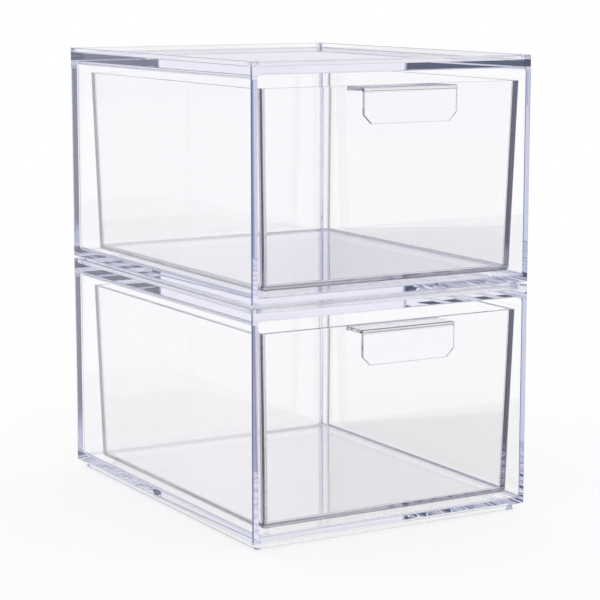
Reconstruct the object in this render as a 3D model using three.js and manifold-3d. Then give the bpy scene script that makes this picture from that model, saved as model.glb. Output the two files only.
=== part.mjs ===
import * as THREE from 'three';
import { mergeVertices } from 'three/addons/utils/BufferGeometryUtils.js';
import Module from 'manifold-3d';

// Two stacked clear organizer units, each a case that is open at the front and a drawer that pulls out.
// Millimetres. X is the width, the drawers pull out towards -Y, and Z is up from the table.

const wasm = await Module();
wasm.setup();

// The case
const caseWidth = 154;
const caseDepth = 198;
const caseHeight = 114;
const caseSideWall = 3.2;
const caseBackWall = 3.4;
const topPlate = 3.6;
const bottomPlate = 3.5;
const caseDraftDegrees = 0.2;
const caseUprightRadius = 0.6;
const cavityCornerRadius = 2.2;
const cavityBackRadius = 4.2;

// The stacking lip on the case's top, and the foot ring under the case that drops into the next lip
const lipHeight = 2.6;
const lipWall = 2.6;
const lipInnerRadius = 2.6;
const nestClearance = 0.7;
const joinGap = 0.9;
const footRingWall = 3;
const footRecessRadius = 2;

// The drawer and its room in the case
const drawerWall = 2.5;
const drawerFloor = 2.2;
const drawerDraftDegrees = 1.5;
const drawerUprightRadius = 2.2;
const drawerFloorRadius = 3.5;
const hollowUprightRadius = 2;
const hollowFloorRadius = 1.8;
const drawerSideGap = 2.1;
const drawerTopGap = 6.2;
const drawerFrontRecess = 2.3;
const drawerBackGap = 16;

// The glide pads under the drawer's floor
const glideHeight = 1.6;
const glideDiameter = 2.6;
const glideInset = 1.4;

// The pull: a ledge off the front panel's rim, bent down into a flap with cut corners
const pullWidth = 51;
const pullReach = 14.8;
const pullDrop = 16.8;
const pullThickness = 1.8;
const pullBendRadius = 3.4;
const pullCornerCut = 4.2;
const pullCornerSoftening = 0.8;
const pullRootRadius = 1;
const pullRootShare = 0.5;

// The soft edge that every moulded rim has, and the gap at which separate pieces rest on each other
const softEdge = 0.5;
const restGap = 0.3;

// How far a cutting solid runs past what it cuts
const overrun = 5;

// The flat steps of a quarter round, fewer on a soft edge, and the sides of a glide pad
const roundSteps = 6;
const softSteps = 2;
const glideSides = 16;

// The units, from the bottom up
const unitNames = ['lower', 'upper'];

// Heights in a unit, from the surface that its foot ring stands on
const footRingHeight = lipHeight + joinGap;
const footRingInset = lipWall + nestClearance;
const cavityFloor = footRingHeight + bottomPlate;
const plateTop = caseHeight - lipHeight;
const cavityCeiling = plateTop - topPlate;
const unitPitch = plateTop + restGap;

// The drawer's size, which is what the case leaves for it
const cavityHalfWidth = caseWidth / 2 - caseSideWall;
const drawerHalfWidth = cavityHalfWidth - drawerSideGap;
const drawerDepth = caseDepth - caseBackWall - drawerBackGap - drawerFrontRecess;
const drawerUnderside = cavityFloor + restGap + glideHeight;
const drawerHeight = cavityCeiling - drawerTopGap - drawerUnderside;
const pullOverhang = Math.max(pullReach - drawerFrontRecess, 0);

const caseSlope = Math.tan(THREE.MathUtils.degToRad(caseDraftDegrees));
const drawerSlope = Math.tan(THREE.MathUtils.degToRad(drawerDraftDegrees));

// The rectangle between two corners with its corners rounded, as points that run anticlockwise
function roundedRectangle(left, right, low, high, radius) {
  const shape = new THREE.Shape();
  shape.absarc(left + radius, low + radius, radius, Math.PI, Math.PI * 1.5);
  shape.absarc(right - radius, low + radius, radius, Math.PI * 1.5, Math.PI * 2);
  shape.absarc(right - radius, high - radius, radius, 0, Math.PI / 2);
  shape.absarc(left + radius, high - radius, radius, Math.PI / 2, Math.PI);
  return shape.getPoints(roundSteps / 2);
}

// The steps of a quarter round: how far each one lies in from the wall and up from the end face
function quarterRound(radius) {
  const count = radius > softEdge ? roundSteps : softSteps;
  const steps = [];
  for (let i = 0; i <= count; i += 1) {
    const angle = ((i / count) * Math.PI) / 2;
    steps.push({ inset: radius * (1 - Math.sin(angle)), rise: radius * (1 - Math.cos(angle)) });
  }
  return steps;
}

// A closed skin over outlines of equal point counts, each at its own level along +Z
function loft(sections) {
  const count = sections[0].outline.length;
  const positions = [];
  const index = [];
  for (const { outline, level } of sections) {
    outline.forEach((point) => positions.push(point.x, point.y, level));
  }
  for (let s = 0; s < sections.length - 1; s += 1) {
    for (let i = 0; i < count; i += 1) {
      const here = s * count + i;
      const next = s * count + ((i + 1) % count);
      index.push(here, next, next + count, here, next + count, here + count);
    }
  }
  const last = (sections.length - 1) * count;
  for (const [a, b, c] of THREE.ShapeUtils.triangulateShape(sections[0].outline, [])) {
    index.push(a, c, b);
  }
  for (const [a, b, c] of THREE.ShapeUtils.triangulateShape(sections.at(-1).outline, [])) {
    index.push(last + a, last + b, last + c);
  }
  const geometry = new THREE.BufferGeometry();
  geometry.setAttribute('position', new THREE.Float32BufferAttribute(positions, 3));
  geometry.setIndex(index);
  return geometry;
}

// A solid between two levels with its end edges rounded off.
// sectionAt(level, inset) gives its outline at a level, drawn in by inset.
function block({ sectionAt, low, high, lowRound, highRound }) {
  const sections = [];
  for (const { inset, rise } of quarterRound(lowRound)) {
    sections.push({ outline: sectionAt(low + rise, inset), level: low + rise });
  }
  for (const { inset, rise } of quarterRound(highRound).reverse()) {
    sections.push({ outline: sectionAt(high - rise, inset), level: high - rise });
  }
  return loft(sections);
}

// The solid that cuts a pocket: a fillet runs round its floor, and its mouth flares into a soft edge
function pocket({ sectionAt, floor, mouth, floorRound, mouthRound }) {
  const sections = [];
  for (const { inset, rise } of quarterRound(floorRound)) {
    sections.push({ outline: sectionAt(floor + rise, inset), level: floor + rise });
  }
  for (const { inset, rise } of quarterRound(mouthRound)) {
    sections.push({ outline: sectionAt(mouth - inset, -rise), level: mouth - inset });
  }
  sections.push({ outline: sectionAt(mouth, -mouthRound), level: mouth + overrun });
  return loft(sections);
}

// The exact solid of a closed geometry, without the triangles that shrink to a line when its
// vertices are merged
function toSolid(geometry) {
  const bare = geometry.clone();
  bare.deleteAttribute('normal');
  bare.deleteAttribute('uv');
  const merged = mergeVertices(bare);
  const corners = merged.index.array;
  const triangles = [];
  for (let t = 0; t < corners.length; t += 3) {
    const [a, b, c] = corners.slice(t, t + 3);
    if (a !== b && b !== c && c !== a) {
      triangles.push(a, b, c);
    }
  }
  const vertProperties = new Float32Array(merged.attributes.position.array);
  return new wasm.Manifold(new wasm.Mesh({ numProp: 3, vertProperties, triVerts: new Uint32Array(triangles) }));
}

function toGeometry(solid) {
  const mesh = solid.getMesh();
  const geometry = new THREE.BufferGeometry();
  geometry.setAttribute('position', new THREE.BufferAttribute(mesh.vertProperties, 3));
  geometry.setIndex(new THREE.BufferAttribute(mesh.triVerts, 1));
  geometry.computeVertexNormals();
  return geometry;
}

// The case's plan, drawn in from its outer faces by the same amount on all four sides
function casePlan(inset, radius) {
  const side = caseWidth / 2 - inset;
  const end = caseDepth / 2 - inset;
  return roundedRectangle(-side, side, -end, end, radius);
}

// The case's outer form above the foot ring, lip and all
function caseBody() {
  return block({
    sectionAt: (level, inset) => casePlan(inset, caseUprightRadius),
    low: footRingHeight,
    high: caseHeight,
    lowRound: softEdge,
    highRound: softEdge,
  });
}

// The foot ring's outer form, which reaches halfway into the bottom plate that it is one with
function footRing() {
  return block({
    sectionAt: (level, inset) => casePlan(footRingInset + inset, lipInnerRadius),
    low: 0,
    high: footRingHeight + bottomPlate / 2,
    lowRound: softEdge,
    highRound: softEdge,
  });
}

// The hollow inside the foot ring, cut from below and so turned over
function footRecess() {
  const recess = pocket({
    sectionAt: (level, inset) => casePlan(footRingInset + footRingWall + inset, footRecessRadius),
    floor: -footRingHeight,
    mouth: 0,
    floorRound: softEdge,
    mouthRound: softEdge,
  });
  return recess.rotateY(Math.PI);
}

// The shallow tray inside the lip, where the next unit's foot ring stands
function lipTray() {
  return pocket({
    sectionAt: (level, inset) => casePlan(lipWall + inset, lipInnerRadius),
    floor: plateTop,
    mouth: caseHeight,
    floorRound: softEdge,
    mouthRound: softEdge,
  });
}

// The room for the drawer, cut from the front. Its sides and ceiling draw in towards the back, so
// that the mould's core slides out of the mouth, and its floor stays level for the drawer's pads.
function drawerRoom() {
  const mouth = caseDepth / 2;
  const room = pocket({
    sectionAt: (level, inset) => {
      const drawnIn = (mouth - level) * caseSlope + inset;
      const side = cavityHalfWidth - drawnIn;
      return roundedRectangle(-side, side, cavityFloor + inset, cavityCeiling - drawnIn, cavityCornerRadius);
    },
    floor: caseBackWall - mouth,
    mouth,
    floorRound: cavityBackRadius,
    mouthRound: softEdge,
  });
  return room.rotateX(Math.PI / 2);
}

function makeCase() {
  return toSolid(caseBody())
    .add(toSolid(footRing()))
    .subtract(toSolid(footRecess()))
    .subtract(toSolid(lipTray()))
    .subtract(toSolid(drawerRoom()));
}

// The drawer's plan at a height over its underside, drawn in by inset. The four walls lean in
// towards the floor. The front panel's outer face is at y = 0 at the rim.
function drawerPlan(level, inset, radius) {
  const drawnIn = (drawerHeight - level) * drawerSlope + inset;
  const side = drawerHalfWidth - drawnIn;
  return roundedRectangle(-side, side, drawnIn, drawerDepth - drawnIn, radius);
}

function drawerTub() {
  return block({
    sectionAt: (level, inset) => drawerPlan(level, inset, drawerUprightRadius),
    low: 0,
    high: drawerHeight,
    lowRound: drawerFloorRadius,
    highRound: softEdge,
  });
}

function drawerHollow() {
  return pocket({
    sectionAt: (level, inset) => drawerPlan(level, drawerWall + inset, hollowUprightRadius),
    floor: drawerFloor,
    mouth: drawerHeight,
    floorRound: hollowFloorRadius,
    mouthRound: softEdge,
  });
}

// The pull's bent strip, drawn from the side: forward from the panel and up from the rim.
// It has a fillet under its root and a round tip.
function pullStrip() {
  const bendCentre = pullReach - pullBendRadius;
  const tipRadius = pullThickness / 2;
  const tipLevel = tipRadius - pullDrop;
  const root = -drawerWall * pullRootShare;
  const rootLevel = -pullThickness - pullRootRadius;
  const side = new THREE.Shape();
  side.moveTo(root, 0);
  side.lineTo(bendCentre, 0);
  side.absarc(bendCentre, -pullBendRadius, pullBendRadius, Math.PI / 2, 0, true);
  side.absarc(pullReach - tipRadius, tipLevel, tipRadius, 0, -Math.PI, true);
  side.absarc(bendCentre, -pullBendRadius, pullBendRadius - pullThickness, 0, Math.PI / 2);
  side.absarc(pullRootRadius, rootLevel, pullRootRadius, Math.PI / 2, Math.PI);
  side.lineTo(root, rootLevel);
  const strip = new THREE.ExtrudeGeometry(side, {
    depth: pullWidth,
    curveSegments: roundSteps,
    bevelEnabled: false,
  });
  const forward = new THREE.Vector3(0, -1, 0);
  const up = new THREE.Vector3(0, 0, 1);
  const across = new THREE.Vector3(-1, 0, 0);
  strip.applyMatrix4(new THREE.Matrix4().makeBasis(forward, up, across));
  return strip.translate(pullWidth / 2, 0, 0);
}

// The pull seen from the front, with its lower corners cut off and softened, as a thick slab
function pullFace() {
  const half = pullWidth / 2;
  const corners = [
    new THREE.Vector2(-half, overrun),
    new THREE.Vector2(-half, pullCornerCut - pullDrop),
    new THREE.Vector2(pullCornerCut - half, -pullDrop),
    new THREE.Vector2(half - pullCornerCut, -pullDrop),
    new THREE.Vector2(half, pullCornerCut - pullDrop),
    new THREE.Vector2(half, overrun),
  ];
  const face = new THREE.Shape();
  corners.forEach((corner, i) => {
    const before = corners.at(i - 1).clone().sub(corner).setLength(pullCornerSoftening).add(corner);
    const after = corners[(i + 1) % corners.length].clone().sub(corner);
    after.setLength(pullCornerSoftening).add(corner);
    if (i === 0) {
      face.moveTo(before.x, before.y);
    } else {
      face.lineTo(before.x, before.y);
    }
    face.quadraticCurveTo(corner.x, corner.y, after.x, after.y);
  });
  const slab = new THREE.ExtrudeGeometry(face, {
    depth: pullReach + drawerWall + overrun,
    curveSegments: roundSteps / 2,
    bevelEnabled: false,
  });
  return slab.rotateX(Math.PI / 2).translate(0, drawerWall, 0);
}

function makePull() {
  return toSolid(pullStrip())
    .intersect(toSolid(pullFace()))
    .translate([0, 0, drawerHeight]);
}

// One glide pad, a short pin with a soft lower edge that is rooted in the floor
function glidePad() {
  const radius = glideDiameter / 2;
  const profile = [new THREE.Vector2(0, -glideHeight)];
  for (const { inset, rise } of quarterRound(softEdge)) {
    profile.push(new THREE.Vector2(radius - inset, rise - glideHeight));
  }
  profile.push(new THREE.Vector2(radius, drawerFloor / 2));
  profile.push(new THREE.Vector2(0, drawerFloor / 2));
  return new THREE.LatheGeometry(profile, glideSides).rotateX(Math.PI / 2);
}

// A pad near each corner of the floor, just inside the round of the floor's edge
function makeGlidePads() {
  const edge = drawerHeight * drawerSlope + drawerFloorRadius + glideInset;
  const across = drawerHalfWidth - edge;
  const pad = toSolid(glidePad());
  const places = [
    [-across, edge],
    [across, edge],
    [across, drawerDepth - edge],
    [-across, drawerDepth - edge],
  ];
  return places.map(([x, y]) => pad.translate([x, y, 0]));
}

function makeDrawer() {
  return makeGlidePads()
    .reduce((drawer, pad) => drawer.add(pad), toSolid(drawerTub()))
    .subtract(toSolid(drawerHollow()))
    .add(makePull());
}

// Clear moulded plastic, cool at the case's edges and a little warmer in the drawer
const caseMaterial = new THREE.MeshStandardMaterial({
  color: 0xe6e8f4,
  roughness: 0.05,
  metalness: 0,
  transparent: true,
  opacity: 0.3,
});
const drawerMaterial = new THREE.MeshStandardMaterial({
  color: 0xeeecea,
  roughness: 0.06,
  metalness: 0,
  transparent: true,
  opacity: 0.3,
});

function namedMesh(name, geometry, material) {
  const mesh = new THREE.Mesh(geometry, material);
  mesh.name = name;
  return mesh;
}

const caseGeometry = toGeometry(makeCase());
const drawerGeometry = toGeometry(makeDrawer());

// The stack is centred over its whole depth, pulls included
const organizer = new THREE.Group();
organizer.position.y = pullOverhang / 2;
unitNames.forEach((unitName, i) => {
  const unit = new THREE.Group();
  unit.position.z = i * unitPitch;
  const drawer = namedMesh(`${unitName}_drawer`, drawerGeometry.clone(), drawerMaterial.clone());
  drawer.position.set(0, drawerFrontRecess - caseDepth / 2, drawerUnderside);
  unit.add(namedMesh(`${unitName}_case`, caseGeometry.clone(), caseMaterial.clone()), drawer);
  organizer.add(unit);
});

export default organizer;
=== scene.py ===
import math

import bmesh
import bpy
from mathutils import Euler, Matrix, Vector


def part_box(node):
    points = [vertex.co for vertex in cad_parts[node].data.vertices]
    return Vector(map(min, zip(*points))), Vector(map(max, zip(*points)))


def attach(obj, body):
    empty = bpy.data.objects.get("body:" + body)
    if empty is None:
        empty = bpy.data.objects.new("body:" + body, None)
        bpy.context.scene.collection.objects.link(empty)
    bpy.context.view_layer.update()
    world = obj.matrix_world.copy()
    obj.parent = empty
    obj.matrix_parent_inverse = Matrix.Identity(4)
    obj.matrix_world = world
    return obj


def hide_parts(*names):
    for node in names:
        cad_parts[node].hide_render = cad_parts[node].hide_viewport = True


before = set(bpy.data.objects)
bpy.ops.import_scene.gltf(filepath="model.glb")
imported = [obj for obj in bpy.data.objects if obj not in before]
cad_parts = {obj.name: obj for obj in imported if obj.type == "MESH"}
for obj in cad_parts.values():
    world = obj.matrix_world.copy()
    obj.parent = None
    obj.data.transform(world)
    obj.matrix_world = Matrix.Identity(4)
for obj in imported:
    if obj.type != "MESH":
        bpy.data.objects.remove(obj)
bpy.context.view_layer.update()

mm = 0.001
across, outward, upward = Vector((1, 0, 0)), Vector((0, -1, 0)), Vector((0, 0, 1))

print("camera")

cameraValues = {
    "place": (-516.5 * mm, -892.5 * mm, 264.5 * mm),
    "turn": -30.15,          # degrees about the upright, from looking straight at the front
    "tip": 80.9,             # degrees, where 90 looks level
    "focalPixels": 2043,
    "picturePixels": 600,
    "sensor": 36,
    "clipNear": 0.05,
    "clipFar": 50,
}


def setCamera(v):
    bpy.ops.object.camera_add(
        location=v["place"],
        rotation=Euler((math.radians(v["tip"]), 0, math.radians(v["turn"]))),
    )
    camera = bpy.context.object
    camera.data.sensor_width = v["sensor"]
    camera.data.lens = v["sensor"] * v["focalPixels"] / v["picturePixels"]
    camera.data.clip_start = v["clipNear"]
    camera.data.clip_end = v["clipFar"]
    bpy.context.scene.camera = camera


setCamera(cameraValues)


# shader maths: a value can be added, multiplied and so on, and ShaderNet.add makes any other node

class Signal:
    def __init__(self, net, socket):
        self.net, self.socket = net, socket

    def maths(self, operation, *others, flip=False):
        values = [self, *others]
        if flip:
            values.reverse()
        return self.net.add("ShaderNodeMath", {"operation": operation}, dict(enumerate(values)))

    def __add__(self, other):
        return self.maths("ADD", other)

    def __sub__(self, other):
        return self.maths("SUBTRACT", other)

    def __rsub__(self, other):
        return self.maths("SUBTRACT", other, flip=True)

    def __mul__(self, other):
        return self.maths("MULTIPLY", other)

    __radd__, __rmul__ = __add__, __mul__

    def part(self, name):
        return Signal(self.net, self.socket.node.outputs[name])


class ShaderNet:
    def __init__(self, tree):
        self.tree = tree
        tree.nodes.clear()

    def add(self, kind, settings=None, sockets=None, output=0):
        node = self.tree.nodes.new(kind)
        for key, value in (settings or {}).items():
            setattr(node, key, value)
        for key, value in (sockets or {}).items():
            if isinstance(value, Signal):
                self.tree.links.new(value.socket, node.inputs[key])
            else:
                node.inputs[key].default_value = value
        return Signal(self, node.outputs[output] if len(node.outputs) else None)

    def mix(self, share, first, second):
        return self.add("ShaderNodeMix", {"data_type": "RGBA"}, {0: share, 6: first, 7: second}, output=2)

    def dot(self, first, second):
        product = {"operation": "DOT_PRODUCT"}
        return self.add("ShaderNodeVectorMath", product, {0: first, 1: second}, output="Value")

    def ramp(self, value, low, high):
        smooth = {"interpolation_type": "SMOOTHSTEP"}
        return self.add("ShaderNodeMapRange", smooth, {0: value, 1: low, 2: high})


print("surroundings")

# The room is white behind the object, above it and on the floor, and unlit at both sides. A ray that has
# only passed through the plastic sees plain white. One that has turned inside it sees the room as it is, which
# draws the dark blocks in the plates' edges. With more turns it sees the room in the colours worn, spent and
# lost, one after the other, and the unlit sides turn from dim to deep. A Range says where a change begins and
# ends.
roomValues = {
    "white": (1, 1, 1, 1),
    "bright": (0.97, 0.96, 1.0, 1),         # lit parts of the room, as reflections show them
    "dim": (0.045, 0.06, 0.115, 1),         # its unlit sides
    "deep": (0.48, 0.51, 0.71, 1),          # the unlit sides after many turns
    "fringe": (0.20, 0.36, 0.85, 1),        # where the lit parts end
    "worn": (0.68, 0.71, 0.86, 1),          # the room after many turns, along a wall
    "spent": (0.19, 0.19, 0.25, 1),         # lit or unlit, after very many, across a back wall
    "lost": (0.95, 0.95, 0.99, 1),          # after so many that the ray has been all over the case
    "sideAxis": (0.866, -0.5, 0),           # from the backdrop's middle line towards the unlit front right
    "fringeRange": (0.40, 0.55),            # how far aside a reflection looks, as a share of straight aside
    "dimRange": (0.55, 0.70),
    "ceilingRange": (0.35, 0.60),           # how far up, as a share of straight up
    "turnRange": (0.9, 2.0),                # turns after which a ray sees the unlit sides
    "wornRange": (8, 18),                   # the same for the colours above, in turns
    "deepRange": (12.5, 15),
    "spentRange": (21, 27),
    "lostRange": (60, 70),
    "lightTurns": 200,                      # turns that the renderer follows before it gives a ray up
    "floorLow": (-3, -0.4),
    "floorHigh": (0.4, 3),
    "floorLevel": -0.2 * mm,                # a hair under the foot ring
    "floorTone": (0.985, 0.985, 0.985, 1),
    "floorGlow": 0.82,                      # the share of its white that doesn't depend on the light
    "farSide": (0.12, 0.25),                # where the floor falls into the dark, along sideAxis
}


def litAfter(net, turns, first, v):
    worn = net.mix(net.ramp(turns, *v["wornRange"]), first, v["worn"])
    spent = net.mix(net.ramp(turns, *v["spentRange"]), worn, v["spent"])
    return net.mix(net.ramp(turns, *v["lostRange"]), spent, v["lost"])


def unlitAfter(net, turns, v):
    deep = net.mix(net.ramp(turns, *v["deepRange"]), v["dim"], v["deep"])
    spent = net.mix(net.ramp(turns, *v["spentRange"]), deep, v["spent"])
    return net.mix(net.ramp(turns, *v["lostRange"]), spent, v["lost"])


def lightRoom(v):
    world = bpy.data.worlds.new("room")
    world.use_nodes = True
    bpy.context.scene.world = world
    net = ShaderNet(world.node_tree)
    turns = net.add("ShaderNodeLightPath").part("Glossy Depth")
    toward = net.add("ShaderNodeTexCoord").part("Generated")
    aside = net.dot(toward, v["sideAxis"]).maths("ABSOLUTE")
    height = net.add("ShaderNodeSeparateXYZ", sockets={0: toward}).part("Z")
    unlit = (1 - net.ramp(height, *v["ceilingRange"])) * net.ramp(turns, *v["turnRange"])
    lit = litAfter(net, turns, v["bright"], v)
    edged = net.mix(net.ramp(aside, *v["fringeRange"]) * unlit, lit, v["fringe"])
    reflected = net.mix(net.ramp(aside, *v["dimRange"]) * unlit, edged, unlitAfter(net, turns, v))
    anyTurn = turns.maths("MINIMUM", 1)
    colour = net.mix(anyTurn, v["white"], reflected)
    shine = net.add("ShaderNodeBackground", sockets={"Color": colour, "Strength": 1.0})
    net.add("ShaderNodeOutputWorld", sockets={"Surface": shine})


def layFloor(v):
    bpy.ops.object.select_all(action="DESELECT")
    low, high = Vector(v["floorLow"]), Vector(v["floorHigh"])
    bpy.ops.mesh.primitive_plane_add(size=1, location=(*(low + high) / 2, v["floorLevel"]))
    floor = bpy.context.object
    floor.name = "floor"
    floor.scale = (*(high - low), 1)
    settle(floor)
    material = bpy.data.materials.new("paleFloor")
    material.use_nodes = True
    net = ShaderNet(material.node_tree)
    rays = net.add("ShaderNodeLightPath")
    turns = rays.part("Glossy Depth")
    aside = net.dot(net.add("ShaderNodeTexCoord").part("Object"), v["sideAxis"])
    lit = litAfter(net, turns, v["white"], v)
    unlit = net.ramp(aside, *v["farSide"]) * net.ramp(turns, *v["turnRange"])
    colour = net.mix(unlit, lit, unlitAfter(net, turns, v))
    seen = rays.part("Is Camera Ray").maths("MAXIMUM", rays.part("Is Transmission Ray"))
    seen = seen.maths("MAXIMUM", rays.part("Is Glossy Ray"))
    shade = net.add("ShaderNodeBsdfDiffuse", sockets={"Color": v["floorTone"]})
    glow = net.add("ShaderNodeEmission", sockets={"Color": colour, "Strength": 1.0})
    surface = net.add("ShaderNodeMixShader", sockets={0: seen * v["floorGlow"], 1: shade, 2: glow})
    net.add("ShaderNodeOutputMaterial", sockets={"Surface": surface})
    floor.data.materials.append(material)


# picking in edit mode, and the steps that every moulding uses

pickValues = {
    "slack": 0.05 * mm,
    "along": 0.8,             # share of an edge's length that has to lie along the axis
    "facing": 0.9,            # cosine between a face's normal and the direction
    "sharpAngle": 35,         # degrees
    "normalWeight": 50,       # large faces keep their flat shading beside the rounded ones
}


def cornersOf(part):
    return [part.co] if isinstance(part, bmesh.types.BMVert) else [vert.co for vert in part.verts]


# x is counted from the middle, alike on both sides
def within(x=None, y=None, z=None):
    slack = pickValues["slack"]

    def fits(corner):
        places = (abs(corner.x), corner.y, corner.z)
        return all(
            limit[0] - slack <= place <= limit[1] + slack
            for place, limit in zip(places, (x, y, z)) if limit
        )

    return lambda part: all(fits(corner) for corner in cornersOf(part))


def running(axis, test):
    def fits(edge):
        run = edge.verts[1].co - edge.verts[0].co
        return abs(run[axis]) > pickValues["along"] * run.length and test(edge)
    return fits


def facing(direction, test):
    return lambda face: face.normal.dot(direction) > pickValues["facing"] and test(face)


def pick(piece, kind, test):
    bpy.ops.mesh.select_mode(type=kind)
    bpy.ops.mesh.select_all(action="DESELECT")
    net = bmesh.from_edit_mesh(piece.data)
    for part in {"VERT": net.verts, "EDGE": net.edges, "FACE": net.faces}[kind]:
        if test(part):
            part.select_set(True)
    net.select_flush_mode()
    bmesh.update_edit_mesh(piece.data)


def push(shift):
    bpy.ops.mesh.extrude_region_move(TRANSFORM_OT_translate={"value": shift})


def squeeze(scale, centre):
    bpy.ops.transform.resize(value=scale, center_override=centre)


def sharp(edge):
    return edge.calc_face_angle(0) > math.radians(pickValues["sharpAngle"])


def roundEdges(piece, rounds, softEdge, steps):
    widest = max(radius for test, radius in rounds)
    for test, radius in [(sharp, softEdge), *rounds]:
        pick(piece, "EDGE", test)
        bpy.ops.transform.edge_bevelweight(value=-1)
        bpy.ops.transform.edge_bevelweight(value=radius / widest)
    bpy.ops.object.mode_set(mode="OBJECT")
    for slot in ("flat", "rounded"):        # the new faces get the second one, to be told apart
        piece.data.materials.append(bpy.data.materials.new(slot))
    applyModifier(piece, "BEVEL", limit_method="WEIGHT", width=widest, segments=steps, material=1)


def onlyThis(piece):
    bpy.ops.object.select_all(action="DESELECT")
    piece.select_set(True)
    bpy.context.view_layer.objects.active = piece


def settle(piece):
    onlyThis(piece)
    bpy.ops.object.transform_apply(location=True, rotation=True, scale=True)


def addBlock(name, low, high):
    bpy.ops.object.select_all(action="DESELECT")
    bpy.ops.mesh.primitive_cube_add(size=1, location=(low + high) / 2, scale=high - low)
    block = bpy.context.object
    block.name = block.data.name = name
    settle(block)
    return block


def applyModifier(piece, kind, **settings):
    onlyThis(piece)
    bpy.ops.object.modifier_add(type=kind)
    modifier = piece.modifiers[-1]
    for key, value in settings.items():
        setattr(modifier, key, value)
    bpy.ops.object.modifier_apply(modifier=modifier.name)


outlineShare = 0.5        # painted shade of a rounded face: none at 0, that of an outline here, that of an upright at 1


def markRounded(piece, share):
    faces = piece.data.polygons
    rounded = piece.data.attributes.new("rounded", "FLOAT", "FACE")
    rounded.data.foreach_set("value", [face.material_index * share(face.center) for face in faces])
    faces.foreach_set("material_index", [0] * len(faces))
    piece.data.materials.clear()


def smoothNormals(piece):
    onlyThis(piece)
    bpy.ops.object.shade_smooth()
    applyModifier(piece, "WEIGHTED_NORMAL", weight=pickValues["normalWeight"], keep_sharp=True)


print("case")

caseValues = {
    "sideWall": 3.2 * mm,
    "backWall": 3.4 * mm,
    "topPlate": 3.6 * mm,
    "bottomPlate": 3.5 * mm,
    "draft": 0.2,             # degrees
    "uprightRadius": 0.9 * mm,
    "roomRadius": 2.2 * mm,
    "roomBackRadius": 4.2 * mm,
    "lipHeight": 2.6 * mm,
    "lipWall": 2.6 * mm,
    "lipRadius": 2.6 * mm,
    "ringHeight": 3.5 * mm,
    "ringInset": 3.3 * mm,
    "ringWall": 3 * mm,
    "ringRecessRadius": 2 * mm,
    "roundSteps": 6,
    "softEdge": 0.45 * mm,
}


def moldCase(node, v):
    low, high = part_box(node)
    base = low.z + v["ringHeight"]
    case = addBlock("caseMoulding", Vector((low.x, low.y, base)), high)
    bpy.ops.object.mode_set(mode="EDIT")

    # the stacking lip is left standing round the top plate
    plateTop = high.z - v["lipHeight"]
    pick(case, "FACE", within(z=(high.z, high.z)))
    bpy.ops.mesh.inset(thickness=v["lipWall"])
    push((0, 0, plateTop - high.z))

    # the foot ring hangs under the bottom plate
    pick(case, "FACE", within(z=(base, base)))
    bpy.ops.mesh.inset(thickness=v["ringInset"])
    push((0, 0, low.z - base))
    bpy.ops.mesh.inset(thickness=v["ringWall"])
    push((0, 0, base - low.z))

    # the drawer's room is sunk from the front, drawn in a little on the way
    floor, ceiling = base + v["bottomPlate"], plateTop - v["topPlate"]
    roomSide, back = high.x - v["sideWall"], high.y - v["backWall"]
    mouth = {"x": (0, roomSide), "y": (low.y, low.y)}
    firstLow, firstHigh = base + v["sideWall"], high.z - v["sideWall"]
    pick(case, "FACE", within(y=(low.y, low.y)))
    bpy.ops.mesh.inset(thickness=v["sideWall"])
    pick(case, "VERT", within(z=(firstHigh, firstHigh), **mouth))
    bpy.ops.transform.translate(value=(0, 0, ceiling - firstHigh))
    pick(case, "VERT", within(z=(firstLow, firstLow), **mouth))
    bpy.ops.transform.translate(value=(0, 0, floor - firstLow))
    pick(case, "FACE", within(z=(floor, ceiling), **mouth))
    push((0, back - low.y, 0))
    drawnIn = (back - low.y) * math.tan(math.radians(v["draft"]))
    squeeze((1 - drawnIn / roomSide, 1, 1 - drawnIn / (ceiling - floor)), (0, back, floor))

    # the round edges, by radius
    trayX = high.x - v["lipWall"]
    ringX = high.x - v["ringInset"]
    roundEdges(case, [
        (running(2, within(x=(high.x, high.x), z=(base, high.z))), v["uprightRadius"]),
        (running(2, within(x=(trayX, trayX), z=(plateTop, high.z))), v["lipRadius"]),
        (running(2, within(x=(ringX, ringX), z=(low.z, base))), v["lipRadius"]),
        (running(2, within(x=(0, ringX - v["ringWall"]), z=(low.z, base))), v["ringRecessRadius"]),
        (running(1, within(x=(0, roomSide), y=(low.y, back), z=(floor, ceiling))), v["roomRadius"]),
        (within(x=(0, roomSide), y=(back, back), z=(floor, ceiling)), v["roomBackRadius"]),
    ], v["softEdge"], v["roundSteps"])

    # the plate's and the lip's rounded edges take the outline's painted shade, and the uprights their own
    # darker painted shade
    def share(place):
        if place.z > ceiling + v["softEdge"] or place.z < base + v["softEdge"]:
            return outlineShare * (place.z > ceiling)
        return high.x - abs(place.x) < v["uprightRadius"]

    markRounded(case, share)
    smoothNormals(case)
    return case


print("drawer")

drawerValues = {
    "wall": 2.5 * mm,
    "floor": 2.2 * mm,
    "draft": 1.5,             # degrees
    "uprightRadius": 2.2 * mm,
    "floorRadius": 3.5 * mm,
    "hollowUprightRadius": 2 * mm,
    "hollowFloorRadius": 1.8 * mm,
    "glideHeight": 1.6 * mm,
    "glideDiameter": 2.6 * mm,
    "glideInset": 1.4 * mm,
    "glideSides": 24,
    "glideSoftSteps": 3,
    "pullWidth": 51 * mm,
    "pullReach": 14.8 * mm,
    "pullDrop": 16.8 * mm,
    "pullThickness": 1.8 * mm,
    "pullBendRadius": 3.4 * mm,
    "pullCornerCut": 4.2 * mm,
    "pullCornerSoftening": 0.8 * mm,
    "pullRootRadius": 1 * mm,
    "roundSteps": 7,
    "softEdge": 0.5 * mm,
}


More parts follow.
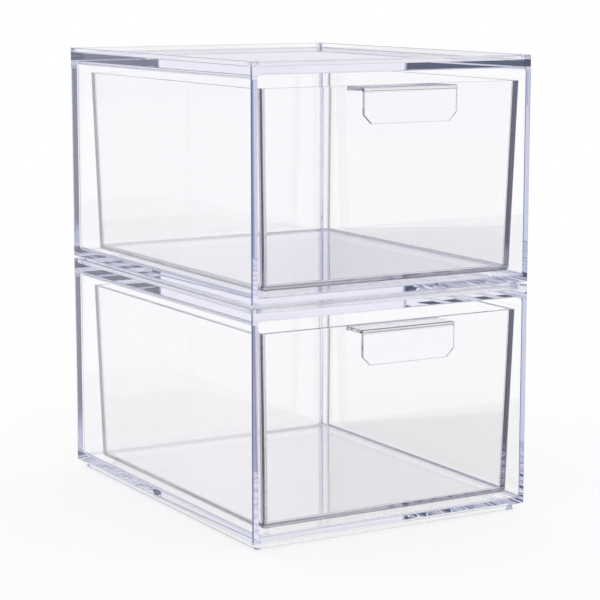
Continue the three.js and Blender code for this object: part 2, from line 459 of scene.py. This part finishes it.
def bendPull(drawer, panel, front, rim, v):
    half, thick = v["pullWidth"] / 2, v["pullThickness"]
    tip = front - v["pullReach"]
    root, under, hem = tip + thick, rim - thick, rim - v["pullDrop"]

    # a strip is marked off along the front panel's rim
    pick(drawer, "FACE", panel)
    bpy.ops.mesh.bisect(plane_co=(-half, 0, 0), plane_no=across)
    pick(drawer, "FACE", panel)
    bpy.ops.mesh.bisect(plane_co=(half, 0, 0), plane_no=across)
    middle = within(x=(0, half))
    pick(drawer, "FACE", lambda face: panel(face) and middle(face))
    bpy.ops.mesh.bisect(plane_co=(0, 0, under), plane_no=upward)

    # it is drawn forward in two lengths, and the second one down
    strip = within(x=(0, half), z=(under, rim))
    pick(drawer, "FACE", lambda face: panel(face) and strip(face))
    push((0, root - front, 0))
    squeeze((1, 0, 1), (0, root, 0))
    push((0, tip - root, 0))
    pick(drawer, "FACE", within(x=(0, half), y=(tip, root), z=(under, under)))
    push((0, 0, hem - under))

    # the flap's lower corners are cut off
    pick(drawer, "EDGE", running(1, within(x=(half, half), y=(tip, root), z=(hem, hem))))
    bpy.ops.mesh.bevel(offset=v["pullCornerCut"], segments=1, affect="EDGES")
    ends = (hem, hem + v["pullCornerCut"])
    return [
        (running(0, within(x=(0, half), y=(tip, tip), z=(rim, rim))), v["pullBendRadius"]),
        (running(0, within(x=(0, half), y=(root, root), z=(under, under))), v["pullBendRadius"] - thick),
        (running(0, within(x=(0, half), y=(front, front), z=(under, under))), v["pullRootRadius"]),
        (running(1, within(x=(0, half), y=(tip, root), z=ends)), v["pullCornerSoftening"]),
    ]


def addGlide(drawer, x, y, low, root, v):
    bpy.ops.object.select_all(action="DESELECT")
    bpy.ops.mesh.primitive_cylinder_add(
        vertices=v["glideSides"], radius=v["glideDiameter"] / 2, depth=root - low,
        location=(x, y, (low + root) / 2),
    )
    glide = bpy.context.object
    settle(glide)
    bpy.ops.object.mode_set(mode="EDIT")
    pick(glide, "EDGE", within(z=(low, low)))
    bpy.ops.mesh.bevel(offset=v["softEdge"], segments=v["glideSoftSteps"], affect="EDGES")
    bpy.ops.object.mode_set(mode="OBJECT")
    applyModifier(drawer, "BOOLEAN", operation="UNION", object=glide, solver="EXACT")
    bpy.data.objects.remove(glide)


def moldDrawer(node, v):
    low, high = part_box(node)
    front, back, rim, underside = low.y + v["pullReach"], high.y, high.z, low.z + v["glideHeight"]
    middle, halfDepth = (front + back) / 2, (back - front) / 2
    slope = math.tan(math.radians(v["draft"]))
    drawer = addBlock("drawerMoulding", Vector((low.x, front, underside)), high)
    bpy.ops.object.mode_set(mode="EDIT")

    # the walls lean in towards the floor, outside and inside
    drawnIn = (rim - underside) * slope
    pick(drawer, "FACE", within(z=(underside, underside)))
    squeeze((1 - drawnIn / high.x, 1 - drawnIn / halfDepth, 1), (0, middle, underside))
    pick(drawer, "FACE", within(z=(rim, rim)))
    bpy.ops.mesh.inset(thickness=v["wall"])
    hollowFloor = underside + v["floor"]
    push((0, 0, hollowFloor - rim))
    hollowIn = (rim - hollowFloor) * slope
    squeeze(
        (1 - hollowIn / (high.x - v["wall"]), 1 - hollowIn / (halfDepth - v["wall"]), 1),
        (0, middle, hollowFloor),
    )
    panel = facing(outward, within(y=(front, front + drawnIn)))
    pullRounds = bendPull(drawer, panel, front, rim, v)

    # the round edges, by radius
    hollowX = high.x - v["wall"]
    hollow = {"x": (0, hollowX), "y": (front + v["wall"], back - v["wall"])}
    roundEdges(drawer, [
        (running(2, within(x=(high.x - drawnIn, high.x), z=(underside, rim))), v["uprightRadius"]),
        (within(y=(front, back), z=(underside, underside)), v["floorRadius"]),
        (running(2, within(z=(hollowFloor, rim), **hollow)), v["hollowUprightRadius"]),
        (within(z=(hollowFloor, hollowFloor), **hollow), v["hollowFloorRadius"]),
        *pullRounds,
    ], v["softEdge"], v["roundSteps"])

    # a glide pad stands out under each corner of the floor
    edge = drawnIn + v["floorRadius"] + v["glideInset"]
    for x in (low.x + edge, high.x - edge):
        for y in (front + edge, back - edge):
            addGlide(drawer, x, y, low.z, underside + v["floor"] / 2, v)

    # the rounded uprights take their own painted shade, and the pull's flap the outline's
    def share(place):
        if place.y > front:
            return hollowFloor < place.z < rim - v["softEdge"]
        return outlineShare * (place.z < rim - v["pullBendRadius"])

    markRounded(drawer, share)
    smoothNormals(drawer)
    return drawer


print("plastic")

caseFinish = {
    "name": "coolClearPlastic",
    "tint": (0.997, 0.996, 1.0, 1),
    "tintDeep": (0.992, 0.991, 0.998, 1),
    # the next two colours are painted shade: they darken the rounded uprights and the outlines, for the dark
    # edges that refraction gives clear plastic
    "paintedShadeRounded": (0.37, 0.40, 0.58, 1),
    "paintedShadeOutline": (0.66, 0.66, 0.72, 1),
    "absorbColour": (0.80, 0.80, 0.91, 1),
    "absorbDensity": 3.5,
    "ior": 1.59,
    "polish": 0.0,
    "haze": 0.02,
    "waviness": 0.005,
    "waveScale": 18,
}
drawerFinish = {
    "name": "warmClearPlastic",
    "tint": (0.998, 0.997, 1.0, 1),
    "tintDeep": (0.994, 0.993, 0.997, 1),
    # the next two colours are painted shade: they darken the rounded uprights and the outlines, for the dark
    # edges that refraction gives clear plastic
    "paintedShadeRounded": (0.45, 0.432, 0.47, 1),
    "paintedShadeOutline": (0.62, 0.61, 0.64, 1),
    "absorbColour": (0.60, 0.59, 0.62, 1),
    "absorbDensity": 7,
    "ior": 1.59,
    "polish": 0.0,
    "haze": 0.025,
    "waviness": 0.008,
    "waveScale": 22,
}


grainValues = {
    "detail": 2.0,
    "waveHeight": 1 * mm,
    "speckScale": 900.0,
    "speckLevel": 0.68,       # the noise above this level is dust
}


def clearPlastic(v):
    material = bpy.data.materials.new(v["name"])
    material.use_nodes = True
    net = ShaderNet(material.node_tree)
    place = net.add("ShaderNodeTexCoord").part("Object")
    waves = net.add("ShaderNodeTexNoise", sockets={
        "Vector": place, "Scale": v["waveScale"], "Detail": grainValues["detail"],
    })
    specks = net.add("ShaderNodeTexNoise", sockets={
        "Vector": place, "Scale": grainValues["speckScale"], "Detail": grainValues["detail"],
    })
    dust = specks.part("Fac").maths("GREATER_THAN", grainValues["speckLevel"])
    relief = net.add("ShaderNodeBump", sockets={
        "Height": waves.part("Fac"), "Strength": v["waviness"], "Distance": grainValues["waveHeight"],
    })
    rounded = net.add("ShaderNodeAttribute", {"attribute_name": "rounded"}).part("Fac")
    clear = net.mix(waves.part("Fac"), v["tint"], v["tintDeep"])
    # painted shade: rounded faces are darkened to the outline's or the upright's shade colour
    edged = net.mix(net.ramp(rounded, outlineShare, 1), v["paintedShadeOutline"], v["paintedShadeRounded"])
    surface = net.add("ShaderNodeBsdfPrincipled", sockets={
        "Base Color": net.mix(net.ramp(rounded, 0, outlineShare), clear, edged),
        "Roughness": dust * v["haze"] + v["polish"],
        "IOR": v["ior"],
        "Transmission Weight": 1.0,
        "Normal": relief,
    })
    depth = net.add("ShaderNodeVolumeAbsorption", sockets={
        "Color": v["absorbColour"], "Density": v["absorbDensity"],
    })
    net.add("ShaderNodeOutputMaterial", sockets={"Surface": surface, "Volume": depth})
    return material


finishes = {"case": clearPlastic(caseFinish), "drawer": clearPlastic(drawerFinish)}


def standFor(piece, node, name):
    piece.name = piece.data.name = name
    piece.data.materials.clear()
    piece.data.materials.append(finishes["case" if "case" in node else "drawer"])
    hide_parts(node)
    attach(piece, node)


def copyUp(piece, rise):
    onlyThis(piece)
    bpy.ops.object.duplicate()
    copied = bpy.context.object
    copied.location.z += rise
    settle(copied)
    return copied


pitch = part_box("upper_case")[0].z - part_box("lower_case")[0].z
case = moldCase("lower_case", caseValues)
drawer = moldDrawer("lower_drawer", drawerValues)
upperCase, upperDrawer = copyUp(case, pitch), copyUp(drawer, pitch)
standFor(case, "lower_case", "lowerCase")
standFor(drawer, "lower_drawer", "lowerDrawer")
standFor(upperCase, "upper_case", "upperCase")
standFor(upperDrawer, "upper_drawer", "upperDrawer")


def followLight(turns):
    cycles = bpy.context.scene.cycles       # light turns many times inside a clear plate
    cycles.max_bounces = cycles.transmission_bounces = cycles.glossy_bounces = turns


lightRoom(roomValues)
layFloor(roomValues)
followLight(roomValues["lightTurns"])
bpy.context.scene.view_settings.view_transform = "Standard"
